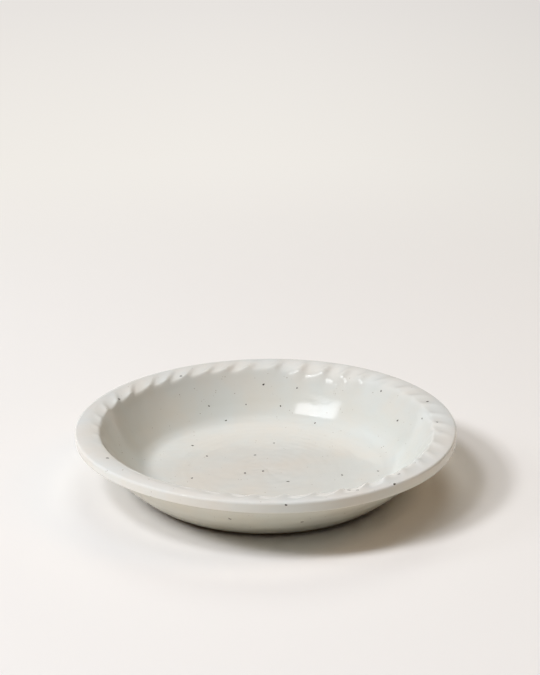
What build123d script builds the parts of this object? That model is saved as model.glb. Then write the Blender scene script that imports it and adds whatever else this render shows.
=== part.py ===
from build123d import *
import os
from math import atan2, cos, degrees, radians, sin, sqrt, tan

# Pie dish: wheel-thrown stoneware with a finger-crimped rim, glazed inside and out.
# The origin is the centre of the foot on the table, +Z is up, and all lengths are millimetres.

# Size over everything
dish_diameter = 280.0
dish_height = 46.8

# Rim: a level lip with an upright band round it that overhangs the wall below
rim_width = 16.5
rim_edge = 1.5
band_height = 8.4
rim_overhang = 7.0

# Inside: a sloping wall that turns through a cove into the floor
inner_wall_angle = 53.0
cove_reach = 12.5
floor_height = 7.0

# Outside: the wall tapers to a foot ring, tucked in under the floor and turned round a shallow recess
foot_tuck = 1.5
foot_edge = 2.0
foot_ring_width = 9.0
foot_recess_depth = 1.8

# Glaze: a glass skin melted on to the clay, wiped back from the foot and thinning out at the lip
glaze_thickness = 0.5
glaze_line_height = 2.6
liner_drop = 8.4

# Crimps: a fingertip pressed slantwise across the lip, each scoop running out short of the band
crimp_count = 42
crimp_depth = 3.9
crimp_margin = 6.0
crimp_slant = 40.0
finger_radius = 10.0

# The inner wall is a straight line down from the lip
rim_radius = dish_diameter / 2
lip_radius = rim_radius - rim_width
inner_slope = radians(inner_wall_angle)
liner_skin = glaze_thickness / sin(inner_slope)


def inner_wall(height, into_clay=0.0):
    """The radius and height of the inner wall's glaze, or of a point that far behind it."""
    return lip_radius - (dish_height - height) / tan(inner_slope) + into_clay, height


# The outer wall is a straight line from under the band to the foot, which lies below the floor's corner
neck_radius = rim_radius - rim_overhang
band_foot_height = dish_height - band_height
foot_radius = inner_wall(floor_height)[0] - foot_tuck
outer_slope = atan2(band_foot_height, neck_radius - foot_radius)
outer_skin = glaze_thickness / sin(outer_slope)


def outer_wall(height, into_clay=0.0):
    """The radius and height of the outer wall's glaze, or of a point that far behind it."""
    return neck_radius - (band_foot_height - height) / tan(outer_slope) - into_clay, height


# Corners that the clay and the glaze share, as radius and height
clay_floor_height = floor_height - glaze_thickness
clay_floor_centre = (0, clay_floor_height)
clay_cove = inner_wall(clay_floor_height, liner_skin)
clay_cove_cut = cove_reach / 2
liner_top = inner_wall(dish_height - liner_drop)
liner_top_back = inner_wall(dish_height - liner_drop, liner_skin)
glaze_neck = outer_wall(band_foot_height)
clay_neck = outer_wall(band_foot_height, outer_skin)

# One fingertip, lying on its own scoop: level with the rim at its outer end and crimp_depth down at the lip
crimp_end_radius = rim_radius - crimp_margin
run_to_middle = crimp_end_radius * cos(radians(crimp_slant))
run_to_lip = run_to_middle - sqrt(run_to_middle**2 - crimp_end_radius**2 + lip_radius**2)
finger_pitch = degrees(atan2(crimp_depth, run_to_lip))
crimp_end = Plane(origin=(crimp_end_radius, 0, dish_height), x_dir=(0, 0, 1), z_dir=(-1, 0, 0))

with BuildPart() as fingertip:
    with BuildSketch(crimp_end.rotated((-crimp_slant, -finger_pitch, 0))):
        with Locations((finger_radius, 0)):
            Circle(finger_radius)
    extrude(amount=2 * run_to_lip, both=True)

# The fired clay body, bare at its foot ring and underside
with BuildPart() as stoneware_body:
    with BuildSketch(Plane.XZ) as section:
        lip = (lip_radius, dish_height)
        band_top = (rim_radius, dish_height)
        band_foot = (rim_radius, band_foot_height)
        foot = outer_wall(0, outer_skin)
        ring_inner_radius = foot[0] - foot_edge - foot_ring_width
        ring_inner = (ring_inner_radius, 0)
        recess_edge = (ring_inner_radius, foot_recess_depth)
        recess_centre = (0, foot_recess_depth)
        with BuildLine():
            Polyline(clay_floor_centre, clay_cove, liner_top_back, liner_top, lip, band_top)
            Polyline(band_top, band_foot, clay_neck, foot)
            Polyline(foot, ring_inner, recess_edge, recess_centre, clay_floor_centre)
        make_face()
        chamfer(section.vertices().sort_by_distance(clay_cove)[0], length=clay_cove_cut)
        chamfer(section.vertices().sort_by_distance(band_top)[0], length=rim_edge)
        chamfer(section.vertices().sort_by_distance(foot)[0], length=foot_edge)
    revolve(axis=Axis.Z)
    with PolarLocations(0, crimp_count):
        add(fingertip.part, mode=Mode.SUBTRACT)

# The glaze that lines the floor, the cove and the wall up to just below the crimps
with BuildPart() as liner_glaze:
    with BuildSketch(Plane.XZ) as section:
        floor_centre = (0, floor_height)
        cove_corner = inner_wall(floor_height)
        cove_start = (cove_corner[0] - cove_reach, floor_height)
        cove_end = inner_wall(floor_height + cove_reach * sin(inner_slope))
        with BuildLine():
            Line(floor_centre, cove_start)
            Bezier(cove_start, cove_corner, cove_end)
            Polyline(cove_end, liner_top, liner_top_back, clay_cove, clay_floor_centre, floor_centre)
        make_face()
        chamfer(section.vertices().sort_by_distance(clay_cove)[0], length=clay_cove_cut)
    revolve(axis=Axis.Z)

# The glaze on the outer wall, from under the band down to the wiped line above the foot
with BuildPart() as outer_glaze:
    with BuildSketch(Plane.XZ):
        glaze_line = outer_wall(glaze_line_height)
        glaze_line_back = outer_wall(glaze_line_height, outer_skin)
        with BuildLine():
            Polyline(glaze_neck, glaze_line, glaze_line_back, clay_neck, close=True)
        make_face()
    revolve(axis=Axis.Z)

stoneware_body.part.label = "stoneware_body"
liner_glaze.part.label = "liner_glaze"
outer_glaze.part.label = "outer_glaze"

os.makedirs("parts", exist_ok=True)
for piece in (stoneware_body.part, liner_glaze.part, outer_glaze.part):
    export_step(piece, f"parts/{piece.label}.step")
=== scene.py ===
from math import cos, pi, radians, sin, tan

import bpy
import numpy as np
from mathutils import Matrix, Quaternion, Vector
from mathutils.bvhtree import BVHTree


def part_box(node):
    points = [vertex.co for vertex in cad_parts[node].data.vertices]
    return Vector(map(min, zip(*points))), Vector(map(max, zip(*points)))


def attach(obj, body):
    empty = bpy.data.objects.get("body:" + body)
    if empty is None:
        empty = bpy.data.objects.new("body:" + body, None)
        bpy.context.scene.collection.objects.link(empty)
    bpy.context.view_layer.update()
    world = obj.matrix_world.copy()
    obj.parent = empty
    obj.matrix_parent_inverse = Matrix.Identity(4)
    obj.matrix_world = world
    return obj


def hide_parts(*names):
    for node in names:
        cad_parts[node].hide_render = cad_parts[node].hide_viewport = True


# Pie dish: wheel-thrown stoneware with a finger-crimped rim under a speckled glaze.
# Shapes are worked out in millimetres round the dish's axis, and turned into metres where a mesh is made.
# Azimuths are in degrees, anticlockwise from +X seen from above.

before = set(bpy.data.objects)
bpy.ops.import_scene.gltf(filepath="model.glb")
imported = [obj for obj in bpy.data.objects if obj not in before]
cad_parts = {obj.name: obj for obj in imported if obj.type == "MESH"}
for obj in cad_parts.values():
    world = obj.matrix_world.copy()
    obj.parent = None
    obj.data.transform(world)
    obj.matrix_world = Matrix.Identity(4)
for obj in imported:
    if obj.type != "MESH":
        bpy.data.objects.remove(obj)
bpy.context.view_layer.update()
MM = 0.001
rng = np.random.default_rng(7)


def linear(*display):
    """The linear colour of display values from 0 to 255."""
    shares = [v / 255 for v in display]
    return tuple(s / 12.92 if s <= 0.04045 else ((s + 0.055) / 1.055) ** 2.4 for s in shares) + (1.0,)


# Sizes taken from the frame
body_low, body_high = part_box("stoneware_body")
RIM_RADIUS = body_high.x / MM
DISH_HEIGHT = body_high.z / MM
GLAZE_LINE_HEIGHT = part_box("outer_glaze")[0].z / MM

# The rim: a level lip, faintly crowned, over an upright band with a hollow neck under it
RIM_WIDTH = 16.5
RIM_EDGE = 1.3
RIM_CROWN = 0.8
RIM_CROWN_REACH = 9.0
BAND_HEIGHT = 8.5
BAND_FOOT_EDGE = 1.5
UNDERCUT = 12.6
UNDERCUT_DROP = 3.2
NECK_HOLLOW = 3.0
LIP_RADIUS = RIM_RADIUS - RIM_WIDTH
BAND_FOOT_HEIGHT = DISH_HEIGHT - BAND_HEIGHT

# The inside: a wall that eases from the lip to the cove, and a floor that sinks a little to its middle
LIP_SLOPE = radians(60.0)
COVE_TOP_SLOPE = radians(45.0)
COVE_TOP_HEIGHT = 14.6
COVE_RADIUS = 16.0
FLOOR_DISH = 0.3

# The outside: a swelling wall down to a foot ring turned round a shallow recess
WALL_SWELL = 2.2
FOOT_RADIUS = 92.0
FOOT_ROUND = 2.4
FOOT_RING_WIDTH = 9.0
FOOT_RING_EDGE = 0.8
FOOT_RECESS = 1.8
GLAZE_THICKNESS = 0.5
GLAZE_EDGE_DROP = 0.35

# The crimps: ridges that lean clockwise going outward, each scoop steep after a ridge and then broad
CRIMP_COUNT = 42
CRIMP_MIDDLE_RADIUS = RIM_RADIUS - 8.0
CRIMP_DEPTH = 4.0
CRIMP_RAMP = 1.25
CRIMP_INWARD_REACH = 14.0
LIP_SHIFT_RUN = 12.0
VALLEY_SHARE = 0.24
VALLEY_BREADTH = 3.0
RIDGE_SMOOTHINGS = 4
SHALLOWEST_SCOOP = 0.82
DEEPEST_SCOOP = 1.12

# How the hand changed on its way round: azimuth, the crimps' slant, their share of the full depth,
# how far they reach out from the lip, how far the lip is drawn inward, and how round it is
CRIMP_CHANGES = [
    (20, 22, 0.3, 15.0, 0.0, 1.2), (35, 20, 0.7, 15.2, 0.0, 2.2), (48, 18, 0.95, 15.3, 0.0, 2.4),
    (62, 10, 1.1, 15.3, 0.0, 2.6), (78, 16, 1.1, 15.3, 0.0, 2.4), (92, 32, 0.85, 15.3, 0.0, 1.2),
    (109, 44, 0.75, 15.0, 0.0, 1.0), (145, 52, 0.6, 14.0, 0.0, 0.9), (163, 50, 0.4, 10.0, 0.5, 0.8),
    (180, 45, 0.2, 6.0, 1.2, 0.8), (205, 42, 0.08, 6.0, 0.0, 1.0), (232, 42, 0.1, 8.0, -2.0, 2.4),
    (255, 42, 0.35, 12.0, -0.6, 2.6), (275, 42, 0.6, 14.0, 0.0, 2.6), (300, 45, 0.9, 15.0, 0.0, 2.0),
    (335, 38, 0.4, 15.0, 0.0, 1.3),
]

# Ridges seen in the photograph, in degrees clockwise from straight behind the dish; the rest are even
RIDGES_BEHIND = [-63, -53.7, -43.2, -35.6, -27.4, -19.1, -11.9, -4.5, 4.9, 14, 22.8, 30.6, 38.2, 46.7, 57.4]
RIDGE_WANDER = 0.8

# Throwing marks: one faint spiral groove that the potter's finger left on floor and walls, and a slow waver
THROW_PITCH = 7.0
THROW_HEIGHT = 0.06
THROW_FADE_RADIUS = 12.0
THROW_OUTSIDE_STRETCH = 1.1
SMOOTH_BAND_WIDTH = 4.0
WAVER_HEIGHT = 0.054

# Out of true all round the rim: how far it wavers outward and upward, and how far it keeps inside its size
OUT_OF_ROUND = 0.14
OUT_OF_LEVEL = 0.1
RIM_INSET = 0.2

# Where the rim is further out of true: azimuth, reach either way, outward, upward and off the band's foot
RIM_CHANGES = [
    (54, 24, 0.0, 0.9, 0.0),
    (182, 20, 1.3, 0.0, 0.0),
    (212, 20, 0.0, 0.0, 1.4),
    (242, 22, 0.0, 0.9, 0.8),
    (300, 26, 0.0, -0.9, 0.0),
]

# How finely the section is drawn before its points are spread
ARC_POINTS = 12
INSIDE_ARC_POINTS = 40
FLOOR_POINTS = 30
WALL_POINTS = 24
WALL_SAMPLES = 200
SECTION_SAMPLE = 0.1

# How finely the meshes are divided: round the dish, along its section, and where the fine part ends.
# The tables of fewer steps hold a radius, and what the steps are divided by outside it.
FINE_STEPS = CRIMP_COUNT * 16
FINE_SPACING = 0.62
COARSE_SPACING = 1.7
FINE_INWARD = 8.0
FINE_BELOW_BAND = 4.0
FULL_STEPS_INWARD = 10.0
FULL_STEPS_DOWN = 14.0
FEWER_STEPS = [(40, 2), (18, 4), (6, 8), (0, 16)]
FIRST_RING_RADIUS = 0.8
RINGS_PAST_RIM = 8
FOOT_SPACING = 0.8
RECESS_SPACING = 4.0
FEWER_FOOT_STEPS = [(40, 4), (12, 8), (2, 16)]

# Glaze: its two tones, a tint for each radius with the two end ones first, its iron dust and its gloss. The
# radial tints also paint light: they brighten the cove and make the rim palest.
GLAZE_WARM = linear(228, 225, 219)
GLAZE_COOL = linear(225, 227, 225)
GLAZE_TINTS_AND_PAINTED_LIGHT = [
    (0, linear(247, 245, 242)),
    (138, linear(255, 255, 255)),
    (60, linear(247, 246, 243)),
    (84, linear(251, 252, 251)),
    (96, linear(251, 253, 251)),
    (106, linear(245, 246, 242)),
    (120, linear(247, 247, 244)),
    (127, linear(254, 254, 253)),
]
GLAZE_TINTS_AND_PAINTED_LIGHT_END = 140
GLAZE_DUST = linear(150, 136, 118)
GLAZE_ROUGHNESS = (0.08, 0.16)
GLAZE_IOR = 1.5

# Bare clay and iron specks
CLAY_PALE = linear(196, 172, 142)
CLAY_DARK = linear(166, 138, 108)
CLAY_GRIT = linear(96, 76, 58)
CLAY_ROUGHNESS = 0.85
IRON_DARK = linear(44, 38, 32)
IRON_PALE = linear(82, 72, 62)
IRON_ROUGHNESS = 0.3

# Camera: the photograph's own viewpoint, worked out from the traced rim, band and foot
PHOTO_WIDTH = 540
PHOTO_HEIGHT = 675
FOCAL_PIXELS = 1600.0
SENSOR_WIDTH = 36.0
CAMERA_PITCH = radians(19.06)
CAMERA_ROLL = radians(0.20)
CAMERA_DISTANCE = 1.204
BASE_CENTRE_PIXEL = (266.7, 480.3)

# Iron specks: where each is in the photograph, in its pixels, and the radius that it seems to have there
SPECKS = [
    (181, 376, 0.83), (119, 399, 0.83), (263.5, 384.5, 1.06), (297, 388, 0.75), (381, 391, 0.83),
    (427.5, 401.5, 0.83), (397.5, 420.5, 0.83), (422, 418.5, 0.66), (437, 422, 0.66), (209, 406, 0.75),
    (246, 404.5, 0.66), (280.5, 406, 0.83), (226, 420.5, 0.83), (315, 423, 0.75), (192.5, 445.5, 0.83),
    (207, 456, 0.75), (274, 443, 0.66), (255, 455, 0.75), (245, 473, 0.83), (263, 471, 0.83),
    (288, 481.5, 0.83), (342, 475, 0.75), (378, 471, 0.66), (399, 474, 0.66), (394.5, 484, 1.06),
    (349, 490, 0.75), (357.5, 490, 0.66), (286, 505, 0.99), (230, 519, 0.75), (302, 522, 0.75),
    (107.5, 458, 0.83), (192, 478, 0.75),
]

# A speck's shape: its height, its two rings as shares of its radius and lifts, and its uneven outline.
# One seen at a slant is drawn larger, down to the flattest facing that counts.
SPECK_SIDES = 10
SPECK_HEIGHT = 0.05
SPECK_RINGS = [(0.6, 0.04), (1.0, -0.05)]
SPECK_BASE = -0.1
SPECK_UNEVENNESS = (0.22, 0.12)
SPECK_VARIETY = (9000, 7000)
FLATTEST_FACING = 0.25

# More specks on the outer wall behind, which the photograph doesn't show, within these limits
UNSEEN_SPECKS = 16
UNSEEN_AZIMUTHS = (20, 160)
UNSEEN_HEIGHTS = (8, 42)
UNSEEN_RADII = (0.5, 1.0)

# Floor, far walls and background, in metres; the background's depths are shares of near to far, ends first.
# The background is a glow of painted light, dimmer far behind the dish and on the right.
FLOOR_REACH = 12.0
BACKDROP_HEIGHT = 2.4
FLOOR_COLOUR = linear(238, 236, 234)
FLOOR_BOUNCE_COLOUR = (0.86, 0.81, 0.71, 1.0)
FLOOR_FADE = (0.4, 1.1)
BACKGROUND_NEAR = 0.3
BACKGROUND_FAR = 2.7
BACKGROUND_DEPTHS = [
    (0.0, linear(243, 239, 234)),
    (1.0, linear(232, 228, 224)),
    (0.33, linear(240, 236, 230)),
]
RIGHT_SIDE_SLANTS = (-0.05, 0.35)
RIGHT_SIDE_PAINTED_SHADE_SHARE = 0.84

# Light: each lamp's name, azimuth, elevation, distance, size, roll, power, colour, and if mirrors show it
LAMP_AIM = Vector((0, 0, 0.03))
DAYLIGHT = (0.97, 0.98, 1.02)
LAMPS = [
    ("key", 208, 57, 5.0, (2.2, 0.8), 28, 36.0, DAYLIGHT, True),
    ("upper_window", 212, 59, 4.0, (0.8, 0.7), 0, 31.0, DAYLIGHT, False),
    ("lower_window", 204, 42.5, 4.0, (0.8, 0.7), 0, 82.0, DAYLIGHT, False),
    ("side", 180, 32, 4.0, (0.8, 0.7), 0, 16.0, DAYLIGHT, False),
    ("top", 0, 85, 4.0, (1.8, 1.6), 0, 22.0, (0.97, 1.0, 0.97), False),
    ("back", 90, 45, 4.0, (1.8, 1.6), 0, 28.0, (1.0, 0.98, 0.9), False),
    ("right", 0, 45, 4.0, (1.8, 1.6), 0, 22.0, (1.0, 0.68, 0.4), False),
]
FILL_COLOUR = (1.0, 0.9, 0.8, 1.0)
FILL_STRENGTH = 0.03


def smooth_min(a, b, width):
    """The lower of two heights, with the crease between them rounded over about this width."""
    return np.minimum(a, b) - width * np.log1p(np.exp(-np.abs(a - b) / width))


def rounded(corners):
    """A section through (radius, height, rounding) corners as points, with arcs where it is rounded."""
    points = []
    for i, (r, z, rounding) in enumerate(corners):
        here = np.array((r, z), float)
        if not rounding:
            points.append(here)
            continue
        before = np.array(corners[i - 1][:2], float) - here
        after = np.array(corners[i + 1][:2], float) - here
        before /= np.linalg.norm(before)
        after /= np.linalg.norm(after)
        half = 0.5 * np.arccos(before @ after)
        centre = here + (before + after) / np.linalg.norm(before + after) * rounding / sin(half)
        start = here + before * rounding / tan(half) - centre
        end = here + after * rounding / tan(half) - centre
        sweep = pi - 2 * half
        for share in np.linspace(0, 1, ARC_POINTS):
            out = (start * sin((1 - share) * sweep) + end * sin(share * sweep)) / sin(sweep)
            points.append(centre + out)
    return np.array(points)


def spread(points, spacing):
    """The same section with its points set apart by spacing(radius, height)."""
    fine = [points[0]]
    for a, b in zip(points[:-1], points[1:]):
        pieces = max(1, int(np.linalg.norm(b - a) / SECTION_SAMPLE))
        fine += [a + (b - a) * (i + 1) / pieces for i in range(pieces)]
    fine = np.array(fine)
    lengths = np.linalg.norm(np.diff(fine, axis=0), axis=1)
    cost = np.concatenate(([0], np.cumsum(lengths / [spacing(*p) for p in fine[1:]])))
    wanted = np.linspace(0, cost[-1], int(round(cost[-1])) + 1)
    return np.column_stack([np.interp(wanted, cost, fine[:, k]) for k in (0, 1)])


def arc_down(start, slope_from, slope_to, radius):
    """Points down an arc of the inside that starts at one slope and eases to another."""
    slopes = np.linspace(slope_from, slope_to, INSIDE_ARC_POINTS)
    across = start[0] - radius * (np.sin(slope_from) - np.sin(slopes))
    return np.column_stack([across, start[1] - radius * (np.cos(slopes) - np.cos(slope_from))])


def inner_section():
    """The inside from the middle of the floor out through the cove and up the wall to the lip."""
    wall_radius = (DISH_HEIGHT - COVE_TOP_HEIGHT) / (cos(COVE_TOP_SLOPE) - cos(LIP_SLOPE))
    wall = arc_down((LIP_RADIUS, DISH_HEIGHT), LIP_SLOPE, COVE_TOP_SLOPE, wall_radius)
    floor_radius = wall[-1][0] - COVE_RADIUS * sin(COVE_TOP_SLOPE)
    floor_slope = 2 * FLOOR_DISH / floor_radius
    cove = arc_down(wall[-1], COVE_TOP_SLOPE, floor_slope, COVE_RADIUS)
    edge, floor_height = cove[-1]
    across = np.linspace(0, edge, FLOOR_POINTS)
    floor = np.column_stack([across, floor_height - FLOOR_DISH * (1 - (across / edge) ** 2)])
    return np.vstack([floor[:-1], cove[::-1][:-1], wall[::-1]])


def outer_wall(share):
    """A point of the outer wall, from under the rim at 0 to the table at 1, swelling outward between."""
    neck = np.array((RIM_RADIUS - UNDERCUT, BAND_FOOT_HEIGHT - UNDERCUT_DROP))
    foot = np.array((FOOT_RADIUS, 0))
    along = foot - neck
    outward = np.array((-along[1], along[0])) / np.linalg.norm(along)
    return neck + along * share + outward * WALL_SWELL * 4 * share * (1 - share)


def glazed_section():
    """The glazed section, from the middle of the floor over the rim and down to the wiped glaze line."""
    shares = np.linspace(0, 1, WALL_SAMPLES)
    heights = np.array([outer_wall(share)[1] for share in shares])
    glaze_line_share = float(np.interp(-GLAZE_LINE_HEIGHT, -heights, shares))
    inside = [(r, z, 0) for r, z in INNER_SECTION]
    rim = [
        (RIM_RADIUS, DISH_HEIGHT, RIM_EDGE),
        (RIM_RADIUS, BAND_FOOT_HEIGHT, BAND_FOOT_EDGE),
        (*outer_wall(0), NECK_HOLLOW),
    ]
    outside = [(*outer_wall(share), 0) for share in np.linspace(0, glaze_line_share, WALL_POINTS)[2:]]
    section = spread(rounded(inside + rim + outside), glaze_spacing)
    return section[section[:, 0] > FIRST_RING_RADIUS]


def glaze_spacing(radius, height):
    """Close together over the crimps and the rim's rounded edges, wider elsewhere."""
    on_rim = radius > LIP_RADIUS - FINE_INWARD and height > BAND_FOOT_HEIGHT - FINE_BELOW_BAND
    return FINE_SPACING if on_rim else COARSE_SPACING


def ridge_angles():
    """Every crimp ridge, anticlockwise in radians from +X, where it crosses the middle of the rim."""
    seen = [90 - a for a in RIDGES_BEHIND]
    more = CRIMP_COUNT - len(seen)
    gap = (360 - (seen[0] - seen[-1])) / (more + 1)
    unseen = [seen[0] + gap * (i + 1) + rng.uniform(-RIDGE_WANDER, RIDGE_WANDER) for i in range(more)]
    return np.sort(np.radians(seen + unseen) % (2 * pi))


INNER_SECTION = inner_section()
CRIMP_AZIMUTHS, SLANT_ANGLES, CRIMP_DEPTHS, CRIMP_REACHES, LIP_SHIFTS, LIP_ROUNDINGS = zip(*CRIMP_CHANGES)
CRIMP_AZIMUTHS = np.radians(CRIMP_AZIMUTHS)
CRIMP_SLANTS = np.tan(np.radians(SLANT_ANGLES))
RIDGES = ridge_angles()
SCOOP_DEPTHS = rng.uniform(SHALLOWEST_SCOOP, DEEPEST_SCOOP, CRIMP_COUNT)


def changing(values, angle):
    """A value that changes round the rim, read off between the azimuths of CRIMP_CHANGES."""
    return np.interp(angle, CRIMP_AZIMUTHS, values, period=2 * pi)


def scoop_depth(radius, angle):
    """How far the crimps press the rim down at a radius and angle."""
    swung = (angle + changing(CRIMP_SLANTS, angle) * np.log(radius / CRIMP_MIDDLE_RADIUS)) % (2 * pi)
    after = np.searchsorted(RIDGES, swung) % CRIMP_COUNT
    before = (after - 1) % CRIMP_COUNT
    gap = (RIDGES[after] - RIDGES[before]) % (2 * pi)
    share = ((RIDGES[after] - swung) % (2 * pi)) / gap
    steep = 1 - np.clip((VALLEY_SHARE - share) / VALLEY_SHARE, 0, 1) ** 2
    broad = 1 - np.clip((share - VALLEY_SHARE) / (1 - VALLEY_SHARE), 0, 1) ** VALLEY_BREADTH
    inward = np.clip(1 - (radius - LIP_RADIUS) / changing(CRIMP_REACHES, angle), 0, None)
    depth = CRIMP_DEPTH * changing(CRIMP_DEPTHS, angle) * SCOOP_DEPTHS[after]
    return depth * inward**CRIMP_RAMP * np.minimum(steep, broad)


def throwing_marks(radius, angle):
    """The height of the throwing marks: waves of odd lengths that fade in and out along the way."""
    swell = np.sin(radius / 11.0 + 1.3 * np.sin(angle + 0.7)) * np.cos(angle * 2 + radius / 19.0)
    rings = np.sin(2 * pi * radius / THROW_PITCH - angle + 0.6 * np.sin(radius / 9.0))
    slow = np.sin(radius / 3.6 + 2.2 * np.sin(3 * angle + 0.9)) * np.sin(7 * angle + radius / 8.0 + 0.4)
    slow = slow + 0.6 * np.sin(11 * angle - radius / 6.0 + 1.1)
    return THROW_HEIGHT * (0.55 + 0.45 * swell) * rings + WAVER_HEIGHT * slow


def hand_thrown(radius, height, angle, outside):
    """Moves a true round ring as the potter's hands left it: a little out of round and out of level."""
    up = height / DISH_HEIGHT
    outward = OUT_OF_ROUND * np.sin(3 * angle + 2.0) - RIM_INSET
    upward = OUT_OF_LEVEL * np.sin(5 * angle + 0.3) - RIM_INSET
    thinning = 0.0
    for azimuth, reach, bump_out, bump_up, bump_thin in RIM_CHANGES:
        off = (np.degrees(angle) - azimuth + 180) % 360 - 180
        bump = np.exp(-0.5 * (off / reach) ** 2)
        outward = outward + bump * bump_out
        upward = upward + bump * bump_up
        thinning = thinning + bump * bump_thin
    if outside:
        down = np.clip((DISH_HEIGHT - RIM_EDGE - height) / (BAND_HEIGHT - RIM_EDGE), 0, 1)
        upward = upward + thinning * down * np.clip(height / BAND_FOOT_HEIGHT, 0, 1)
    across = np.clip((radius - RIM_RADIUS + RIM_CROWN_REACH) / RIM_CROWN_REACH, 0, 1)
    near_top = np.clip((height - BAND_FOOT_HEIGHT) / (BAND_HEIGHT - RIM_EDGE), 0, 1)
    crown = RIM_CROWN * (0.5 - across**2) * near_top
    return radius + up**2 * outward, height + up * upward + crown


def crimped_heights(radius, height):
    """The heights of one ring of the crimped lip, which meets the inner wall in a rounded edge."""
    angle = np.arange(FINE_STEPS) * 2 * pi / FINE_STEPS
    depth = scoop_depth(np.full(FINE_STEPS, radius), angle)
    for _ in range(RIDGE_SMOOTHINGS):
        depth = (np.roll(depth, 1) + 2 * depth + np.roll(depth, -1)) / 4
    if radius > RIM_RADIUS - RIM_EDGE:
        return min(DISH_HEIGHT, height) - depth
    shift_share = np.clip((radius - LIP_RADIUS + CRIMP_INWARD_REACH) / LIP_SHIFT_RUN, 0, 1)
    drawn = radius + changing(LIP_SHIFTS, angle) * shift_share
    wall_height = np.interp(drawn, INNER_SECTION[:, 0], INNER_SECTION[:, 1])
    wall_height = wall_height + np.clip(drawn - LIP_RADIUS, 0, None) * tan(LIP_SLOPE)
    return smooth_min(DISH_HEIGHT - depth, wall_height, changing(LIP_ROUNDINGS, angle))


def glazed_ring(radius, height, top_side, steps):
    """One ring of points of the glazed surface, crimped where it is on the rim."""
    angle = np.arange(steps) * 2 * pi / steps
    r = np.full(steps, radius)
    z = np.full(steps, height)
    if top_side and radius > LIP_RADIUS - CRIMP_INWARD_REACH:
        z = crimped_heights(radius, height)[:: FINE_STEPS // steps]
    elif top_side:
        z = z + throwing_marks(radius, angle) * min(1, radius / THROW_FADE_RADIUS)
    elif radius < RIM_RADIUS - SMOOTH_BAND_WIDTH:
        r = r + throwing_marks(height * THROW_OUTSIDE_STRETCH, angle)
    r, z = hand_thrown(r, z, angle, not top_side)
    return np.column_stack([r * np.cos(angle), r * np.sin(angle), z])


def fewer_steps(radius, table):
    """How many points a ring of this radius has, by one of the tables of fewer steps."""
    return FINE_STEPS // next(divisor for above, divisor in table if radius > above)


def steps_at(radius, height):
    """How many points a ring has: all of them on the rim, and fewer towards the middle."""
    if radius > LIP_RADIUS - FULL_STEPS_INWARD and height > DISH_HEIGHT - FULL_STEPS_DOWN:
        return FINE_STEPS
    return fewer_steps(radius, FEWER_STEPS)


def skin(rings):
    """Vertices and faces through rings of points, each with as many points as the last, half or double."""
    starts = np.cumsum([0] + [len(ring) for ring in rings])
    faces = []
    for i, (a, b) in enumerate(zip(rings[:-1], rings[1:])):
        a0, b0, n, m = starts[i], starts[i + 1], len(a), len(b)
        for j in range(min(n, m)):
            k = (j + 1) % min(n, m)
            if n == m:
                faces.append((a0 + j, b0 + j, b0 + k, a0 + k))
            elif n > m:
                f, g, h = a0 + 2 * j, a0 + 2 * j + 1, a0 + (2 * j + 2) % n
                faces += [(f, b0 + j, g), (g, b0 + j, b0 + k), (g, b0 + k, h)]
            else:
                f, g, h = b0 + 2 * j, b0 + 2 * j + 1, b0 + (2 * j + 2) % m
                faces += [(a0 + j, f, g), (a0 + j, g, a0 + k), (a0 + k, g, h)]
    return np.vstack(rings), faces


def capped(rings):
    """A closed skin through rings that starts and ends at a point on the axis."""
    vertices, faces = skin(rings)
    first, last = rings[0], rings[-1]
    top, bottom = len(vertices), len(vertices) + 1
    start = top - len(last)
    faces = [(top, i, (i + 1) % len(first)) for i in range(len(first))] + faces
    faces += [(bottom, start + (i + 1) % len(last), start + i) for i in range(len(last))]
    return np.vstack([vertices, first.mean(axis=0), last.mean(axis=0)]), faces


def resampled(ring, steps):
    """The same ring with another number of points."""
    place = np.arange(steps) * len(ring) / steps
    low = place.astype(int)
    share = (place - low)[:, None]
    return ring[low] * (1 - share) + ring[(low + 1) % len(ring)] * share


def sunk(rings, depth):
    """The surface that lies this deep under a surface of rings."""
    under = []
    for i, ring in enumerate(rings):
        ahead = resampled(rings[min(i + 1, len(rings) - 1)], len(ring))
        behind = resampled(rings[max(i - 1, 0)], len(ring))
        inward = np.cross(np.roll(ring, -1, axis=0) - np.roll(ring, 1, axis=0), ahead - behind)
        under.append(ring + inward / np.linalg.norm(inward, axis=1)[:, None] * depth)
    return under


def glazed_surface():
    """The rings of the glazed surface from the middle of the floor to the glaze line."""
    section = glazed_section()
    rim_point = int(np.argmax(section[:, 0]))
    rings = []
    for i, (r, z) in enumerate(section):
        steps = steps_at(r, z) if i <= rim_point + RINGS_PAST_RIM else FINE_STEPS // 2
        rings.append(glazed_ring(r, z, i <= rim_point, steps))
    return rings


def make_mesh(name, vertices, faces, material, slot):
    """A smooth-shaded piece that rides on the dish's one body, from vertices in millimetres."""
    mesh = bpy.data.meshes.new(name)
    metres = [tuple(v) for v in np.asarray(vertices) * MM]
    mesh.from_pydata(metres, [], [tuple(int(i) for i in f) for f in faces])
    mesh.validate()
    mesh.polygons.foreach_set("use_smooth", [True] * len(mesh.polygons))
    mesh.materials.append(material)
    piece = bpy.data.objects.new(name, mesh)
    bpy.context.scene.collection.objects.link(piece)
    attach(piece, "root")
    return piece


def new_material(name):
    """A node material with its Principled shader, a shortcut for adding nodes, and one for linking them."""
    material = bpy.data.materials.new(name)
    material.use_nodes = True
    nodes, links = material.node_tree.nodes, material.node_tree.links

    def add(kind, **settings):
        """A new node; a setting that starts with in_ is an input's value, by its name or number."""
        node = nodes.new("ShaderNode" + kind)
        for key, value in settings.items():
            if key.startswith("in_"):
                key = key[3:]
                node.inputs[int(key) if key.isdigit() else key.replace("_", " ")].default_value = value
            else:
                setattr(node, key, value)
        return node

    return material, nodes["Principled BSDF"], add, links.new


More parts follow.
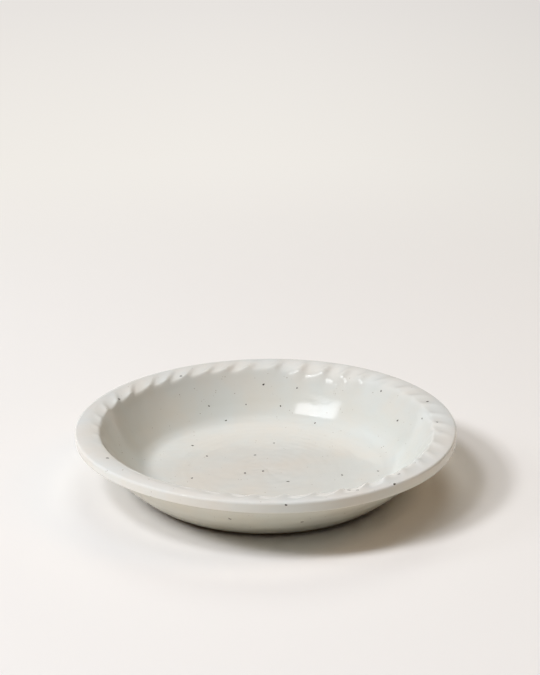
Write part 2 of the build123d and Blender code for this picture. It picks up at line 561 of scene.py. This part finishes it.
def colour_ramp(add, stops):
    """A colour ramp node through (share, colour) stops, of which the first two are its ends."""
    ramp = add("ValToRGB")
    for stop, (share, colour) in zip(ramp.color_ramp.elements, stops[:2]):
        stop.position, stop.color = share, colour
    for share, colour in stops[2:]:
        ramp.color_ramp.elements.new(share).color = colour
    return ramp


def glaze_material():
    """The glaze: pale and glossy, faintly mottled, tinted by radius with painted light brightening the cove
    and the rim, with fine iron dust in it.
    """
    material, shader, add, link = new_material("speckled_glaze")
    place = add("TexCoord").outputs["Object"]
    level = add("VectorMath", operation="MULTIPLY", in_1=(1, 1, 0))
    link(place, level.inputs[0])
    radius = add("VectorMath", operation="LENGTH")
    link(level.outputs[0], radius.inputs[0])

    # Broad mottling between a warmer and a cooler glaze
    broad = add("TexNoise", in_Scale=26.0, in_Detail=3.0, in_Roughness=0.55)
    link(place, broad.inputs["Vector"])
    broad_range = add("MapRange", in_1=0.35, in_2=0.65)
    link(broad.outputs["Fac"], broad_range.inputs[0])
    mottled = add("Mix", data_type="RGBA")
    mottled.inputs["A"].default_value = GLAZE_WARM
    mottled.inputs["B"].default_value = GLAZE_COOL
    link(broad_range.outputs[0], mottled.inputs["Factor"])

    # Tints by radius, warm on the open floor and cool in the cove, with painted light that brightens the
    # cove and makes the rim palest
    zones = add("MapRange", in_2=GLAZE_TINTS_AND_PAINTED_LIGHT_END * MM)
    link(radius.outputs["Value"], zones.inputs[0])
    radial_tints_and_painted_light = colour_ramp(add, [(end / GLAZE_TINTS_AND_PAINTED_LIGHT_END, colour) for end, colour in GLAZE_TINTS_AND_PAINTED_LIGHT])
    link(zones.outputs[0], radial_tints_and_painted_light.inputs["Fac"])
    toned = add("Mix", data_type="RGBA", blend_type="MULTIPLY", in_0=1.0)
    link(mottled.outputs["Result"], toned.inputs["A"])
    link(radial_tints_and_painted_light.outputs["Color"], toned.inputs["B"])

    # Fine iron dust in the glaze
    dust = add("TexVoronoi", in_Scale=420.0)
    link(place, dust.inputs["Vector"])
    dust_size = add("MapRange", in_1=0.10, in_2=0.2, in_3=1.0, in_4=0.0)
    link(dust.outputs["Distance"], dust_size.inputs[0])
    dust_pick = add("TexNoise", in_Scale=160.0, in_Detail=1.0)
    link(place, dust_pick.inputs["Vector"])
    dust_few = add("MapRange", in_1=0.62, in_2=0.7)
    link(dust_pick.outputs["Fac"], dust_few.inputs[0])
    dust_share = add("Math", operation="MULTIPLY")
    link(dust_size.outputs[0], dust_share.inputs[0])
    link(dust_few.outputs[0], dust_share.inputs[1])
    dusty = add("Mix", data_type="RGBA")
    link(dust_share.outputs[0], dusty.inputs["Factor"])
    link(toned.outputs["Result"], dusty.inputs["A"])
    dusty.inputs["B"].default_value = GLAZE_DUST
    link(dusty.outputs["Result"], shader.inputs["Base Color"])

    # Gloss that varies a little, over a surface with a faint orange-peel wave
    gloss = add("TexNoise", in_Scale=55.0, in_Detail=2.0)
    link(place, gloss.inputs["Vector"])
    gloss_range = add("MapRange", in_3=GLAZE_ROUGHNESS[0], in_4=GLAZE_ROUGHNESS[1])
    link(gloss.outputs["Fac"], gloss_range.inputs[0])
    link(gloss_range.outputs[0], shader.inputs["Roughness"])
    wave = add("TexNoise", in_Scale=95.0, in_Detail=2.0, in_Roughness=0.4)
    link(place, wave.inputs["Vector"])
    bump = add("Bump", in_Strength=0.45, in_Distance=0.0004)
    link(wave.outputs["Fac"], bump.inputs["Height"])
    link(bump.outputs[0], shader.inputs["Normal"])
    shader.inputs["IOR"].default_value = GLAZE_IOR
    return material


def clay_material():
    """The bare fired clay: matt, uneven in tone, with dark grit."""
    material, shader, add, link = new_material("bare_stoneware")
    place = add("TexCoord").outputs["Object"]
    tone = add("TexNoise", in_Scale=70.0, in_Detail=5.0, in_Roughness=0.65)
    link(place, tone.inputs["Vector"])
    toned = add("Mix", data_type="RGBA")
    toned.inputs["A"].default_value = CLAY_PALE
    toned.inputs["B"].default_value = CLAY_DARK
    link(tone.outputs["Fac"], toned.inputs["Factor"])
    grit = add("TexVoronoi", in_Scale=900.0)
    link(place, grit.inputs["Vector"])
    grit_range = add("MapRange", in_1=0.12, in_2=0.25, in_3=0.7, in_4=0.0)
    link(grit.outputs["Distance"], grit_range.inputs[0])
    gritty = add("Mix", data_type="RGBA")
    link(grit_range.outputs[0], gritty.inputs["Factor"])
    link(toned.outputs["Result"], gritty.inputs["A"])
    gritty.inputs["B"].default_value = CLAY_GRIT
    link(gritty.outputs["Result"], shader.inputs["Base Color"])
    shader.inputs["Roughness"].default_value = CLAY_ROUGHNESS
    bump = add("Bump", in_Strength=0.5, in_Distance=0.0003)
    link(grit.outputs["Distance"], bump.inputs["Height"])
    link(bump.outputs[0], shader.inputs["Normal"])
    return material


def iron_material():
    """The melted iron of the specks, nearly black."""
    material, shader, add, link = new_material("iron_speck")
    place = add("TexCoord").outputs["Object"]
    tone = add("TexNoise", in_Scale=900.0, in_Detail=2.0)
    link(place, tone.inputs["Vector"])
    toned = add("Mix", data_type="RGBA")
    toned.inputs["A"].default_value = IRON_DARK
    toned.inputs["B"].default_value = IRON_PALE
    link(tone.outputs["Fac"], toned.inputs["Factor"])
    link(toned.outputs["Result"], shader.inputs["Base Color"])
    shader.inputs["Roughness"].default_value = IRON_ROUGHNESS
    return material


def make_dish_glaze(glazed_rings, clay_rings):
    """The coat of glaze: its outer surface over the rim to the glaze line, and back along the clay."""
    glaze_edge = (glazed_rings[-1][::2] + clay_rings[-1]) / 2 - (0, 0, GLAZE_EDGE_DROP)
    coat = glazed_rings + [glaze_edge] + clay_rings[::-1]
    piece = make_mesh("dish_glaze", *capped(coat), glaze_material(), "speckled_glaze")
    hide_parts("liner_glaze", "outer_glaze")
    return piece


def make_dish_clay(clay_rings):
    """The fired clay under the glaze, bare from the glaze line round the foot to the turned recess."""
    r, z = np.linalg.norm(clay_rings[-1][0, :2]), clay_rings[-1][0, 2]
    ring_inner = FOOT_RADIUS - FOOT_RING_WIDTH
    corners = [
        (r, z, 0),
        (FOOT_RADIUS - GLAZE_THICKNESS, 0, FOOT_ROUND),
        (ring_inner, 0, FOOT_RING_EDGE),
        (ring_inner - FOOT_RECESS, FOOT_RECESS, FOOT_RING_EDGE),
        (0, FOOT_RECESS, 0),
    ]

    def foot_spacing(radius, height):
        """Close together round the foot ring, and wide over the recess."""
        return FOOT_SPACING if radius > ring_inner - RECESS_SPACING else RECESS_SPACING

    foot_rings = []
    for r, z in spread(rounded(corners), foot_spacing)[1:]:
        if r > FEWER_FOOT_STEPS[-1][0]:
            steps = fewer_steps(r, FEWER_FOOT_STEPS)
            around = np.arange(steps) * 2 * pi / steps
            foot_rings.append(np.column_stack([r * np.cos(around), r * np.sin(around), np.full(steps, z)]))
    piece = make_mesh("dish_clay", *capped(clay_rings + foot_rings), clay_material(), "bare_stoneware")
    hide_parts("stoneware_body")
    return piece


def make_camera():
    """Places the camera so that the middle of the dish's foot lands on its pixel of the photograph."""
    ahead = Vector((0, cos(CAMERA_PITCH), -sin(CAMERA_PITCH)))
    down = Vector((0, -sin(CAMERA_PITCH), -cos(CAMERA_PITCH)))
    right = Vector((1, 0, 0))
    rolled_right = right * cos(CAMERA_ROLL) + down * sin(CAMERA_ROLL)
    rolled_down = down * cos(CAMERA_ROLL) - right * sin(CAMERA_ROLL)

    def ray(pixel):
        """The direction in which the camera sees a pixel of the photograph."""
        across = (pixel[0] - PHOTO_WIDTH / 2) / FOCAL_PIXELS
        below = (pixel[1] - PHOTO_HEIGHT / 2) / FOCAL_PIXELS
        return (rolled_right * across + rolled_down * below + ahead).normalized()

    data = bpy.data.cameras.new("camera")
    data.sensor_width = SENSOR_WIDTH
    data.lens = FOCAL_PIXELS * SENSOR_WIDTH / PHOTO_HEIGHT
    camera = bpy.data.objects.new("camera", data)
    place = ray(BASE_CENTRE_PIXEL) * -CAMERA_DISTANCE
    turn = Matrix((rolled_right, -rolled_down, -ahead)).transposed()
    camera.matrix_world = Matrix.Translation(place) @ turn.to_4x4()
    bpy.context.scene.collection.objects.link(camera)
    bpy.context.scene.camera = camera
    return place, ray


def speck_shape(surface, spot, normal, radius):
    """One iron speck: a low dome melted into the glaze, whose uneven outline goes with its place."""
    across = normal.orthogonal().normalized()
    beside = normal.cross(across)
    points = [spot + normal * SPECK_HEIGHT * MM]
    oval, lobed = SPECK_UNEVENNESS
    oval_turn, lobed_turn = spot.x * SPECK_VARIETY[0], spot.y * SPECK_VARIETY[1]
    for share, lift in SPECK_RINGS:
        for i in range(SPECK_SIDES):
            angle = 2 * pi * i / SPECK_SIDES
            uneven = 1 + oval * sin(2 * angle + oval_turn) + lobed * sin(3 * angle + lobed_turn)
            step = (across * cos(angle) + beside * sin(angle)) * radius * share * uneven * MM
            near, facing, _, _ = surface.find_nearest(spot + step)
            points.append(near + facing * lift * MM)
    points.append(spot + normal * SPECK_BASE * MM)
    faces = []
    for i in range(SPECK_SIDES):
        j = (i + 1) % SPECK_SIDES
        inner, outer, next_inner, next_outer = 1 + i, 1 + SPECK_SIDES + i, 1 + j, 1 + SPECK_SIDES + j
        faces += [(0, inner, next_inner), (inner, outer, next_outer, next_inner)]
        faces.append((len(points) - 1, next_outer, outer))
    return points, faces


def make_iron_specks(dish_glaze, camera_place, camera_ray):
    """The iron specks: the photograph's where it shows them, and a few more where it shows nothing."""
    surface = BVHTree.FromObject(dish_glaze, bpy.context.evaluated_depsgraph_get())
    vertices, faces = [], []

    def add_speck(spot, normal, radius):
        """Adds a speck to the piece."""
        points, sides = speck_shape(surface, spot, normal, radius)
        faces.extend([[index + len(vertices) for index in side] for side in sides])
        vertices.extend([point / MM for point in points])

    for x, y, radius in SPECKS:
        spot, normal, _, _ = surface.ray_cast(camera_place, camera_ray((x, y)))
        if spot is not None:
            facing = -normal.dot((spot - camera_place).normalized())
            add_speck(spot, normal, radius / max(facing, FLATTEST_FACING) ** 0.5)
    for _ in range(UNSEEN_SPECKS):
        angle = radians(rng.uniform(*UNSEEN_AZIMUTHS))
        height = rng.uniform(*UNSEEN_HEIGHTS) * MM
        away = Vector((cos(angle), sin(angle), 0))
        spot, normal, _, _ = surface.ray_cast(away + Vector((0, 0, height)), -away)
        add_speck(spot, normal, rng.uniform(*UNSEEN_RADII))
    return make_mesh("iron_specks", vertices, faces, iron_material(), "speckled_glaze")


def background_glow(add, link, split):
    """The background's glow, painted light that dims with distance behind the dish and from left to right
    across the camera's view.
    """
    depth = add("MapRange", in_1=BACKGROUND_NEAR, in_2=BACKGROUND_FAR)
    link(split.outputs["Y"], depth.inputs[0])
    depths = colour_ramp(add, BACKGROUND_DEPTHS)
    link(depth.outputs[0], depths.inputs["Fac"])
    ahead = add("Math", operation="MAXIMUM", in_1=0.0)
    link(split.outputs["Y"], ahead.inputs[0])
    away = add("Math", operation="ADD", in_1=CAMERA_DISTANCE)
    link(ahead.outputs[0], away.inputs[0])
    slant = add("Math", operation="DIVIDE")
    link(split.outputs["X"], slant.inputs[0])
    link(away.outputs[0], slant.inputs[1])
    painted_side_shade = add("MapRange", in_3=1.0, in_4=RIGHT_SIDE_PAINTED_SHADE_SHARE, interpolation_type="SMOOTHSTEP")
    painted_side_shade.inputs[1].default_value, painted_side_shade.inputs[2].default_value = RIGHT_SIDE_SLANTS
    link(slant.outputs[0], painted_side_shade.inputs[0])
    glow = add("Emission")
    link(depths.outputs["Color"], glow.inputs["Color"])
    link(painted_side_shade.outputs[0], glow.inputs["Strength"])
    return glow


def floor_material():
    """A matt pale floor near the dish, which fades into the background for the camera and for mirrors."""
    material, shader, add, link = new_material("floor")
    ways = add("LightPath")
    mirrored = add("Math", operation="MAXIMUM")
    link(ways.outputs["Is Glossy Ray"], mirrored.inputs[0])
    link(ways.outputs["Is Transmission Ray"], mirrored.inputs[1])
    seen = add("Math", operation="MAXIMUM")
    link(ways.outputs["Is Camera Ray"], seen.inputs[0])
    link(mirrored.outputs[0], seen.inputs[1])
    pale = add("Mix", data_type="RGBA")
    pale.inputs["A"].default_value = FLOOR_BOUNCE_COLOUR
    pale.inputs["B"].default_value = FLOOR_COLOUR
    link(seen.outputs[0], pale.inputs["Factor"])
    link(pale.outputs["Result"], shader.inputs["Base Color"])
    shader.inputs["Roughness"].default_value = 1.0
    shader.inputs["Specular IOR Level"].default_value = 0.0

    # Camera and mirrors see the floor evened out; other rays meet the warmer bounce colour
    place = add("TexCoord").outputs["Object"]
    split = add("SeparateXYZ")
    link(place, split.inputs[0])
    far_off = add("VectorMath", operation="LENGTH")
    link(place, far_off.inputs[0])
    fade = add("MapRange", in_1=FLOOR_FADE[0], in_2=FLOOR_FADE[1], interpolation_type="SMOOTHSTEP")
    link(far_off.outputs["Value"], fade.inputs[0])
    shown = add("Math", operation="MULTIPLY")
    link(seen.outputs[0], shown.inputs[0])
    link(fade.outputs[0], shown.inputs[1])
    blend = add("MixShader")
    link(shown.outputs[0], blend.inputs[0])
    link(shader.outputs[0], blend.inputs[1])
    link(background_glow(add, link, split).outputs[0], blend.inputs[2])
    link(blend.outputs[0], material.node_tree.nodes["Material Output"].inputs["Surface"])
    return material


def make_floor():
    """A square floor that takes the dish's shadow, with low walls at its far edges for low views."""
    mesh = bpy.data.meshes.new("floor")
    corners = [(-FLOOR_REACH, -FLOOR_REACH, 0), (FLOOR_REACH, -FLOOR_REACH, 0)]
    corners += [(FLOOR_REACH, FLOOR_REACH, 0), (-FLOOR_REACH, FLOOR_REACH, 0)]
    corners += [(x, y, BACKDROP_HEIGHT) for x, y, _ in corners]
    walls = [(i, i + 4, (i + 1) % 4 + 4, (i + 1) % 4) for i in range(4)]
    mesh.from_pydata(corners, [], [(0, 1, 2, 3)] + walls)
    mesh.materials.append(floor_material())
    floor = bpy.data.objects.new("floor", mesh)
    bpy.context.scene.collection.objects.link(floor)


def make_lamp(name, azimuth, elevation, distance, size, roll, power, colour, mirrored):
    """A rectangular studio lamp that faces the dish; it may be left out of mirror images."""
    data = bpy.data.lights.new(name, "AREA")
    data.shape = "RECTANGLE"
    data.size, data.size_y = size
    data.energy = power
    data.color = colour
    lamp = bpy.data.objects.new(name, data)
    around, above = radians(azimuth), radians(elevation)
    towards = Vector((cos(above) * cos(around), cos(above) * sin(around), sin(above)))
    rolled = towards.to_track_quat("Z", "Y") @ Quaternion((0, 0, 1), radians(roll))
    lamp.location = LAMP_AIM + towards * distance
    lamp.rotation_euler = rolled.to_euler()
    lamp.visible_glossy = mirrored
    bpy.context.scene.collection.objects.link(lamp)


def make_lights():
    """Soft studio light: window and side lamps at the left, panels behind and overhead, a warm one right."""
    for lamp in LAMPS:
        make_lamp(*lamp)
    world = bpy.data.worlds.new("world")
    world.use_nodes = True
    sky = world.node_tree.nodes["Background"]
    sky.inputs["Color"].default_value = FILL_COLOUR
    sky.inputs["Strength"].default_value = FILL_STRENGTH
    bpy.context.scene.world = world


glazed_rings = glazed_surface()
clay_rings = sunk([ring[::2] for ring in glazed_rings[::2]], GLAZE_THICKNESS)
dish_glaze = make_dish_glaze(glazed_rings, clay_rings)
make_dish_clay(clay_rings)
camera_place, camera_ray = make_camera()
make_iron_specks(dish_glaze, camera_place, camera_ray)
make_floor()
make_lights()
bpy.context.scene.view_settings.view_transform = "Standard"
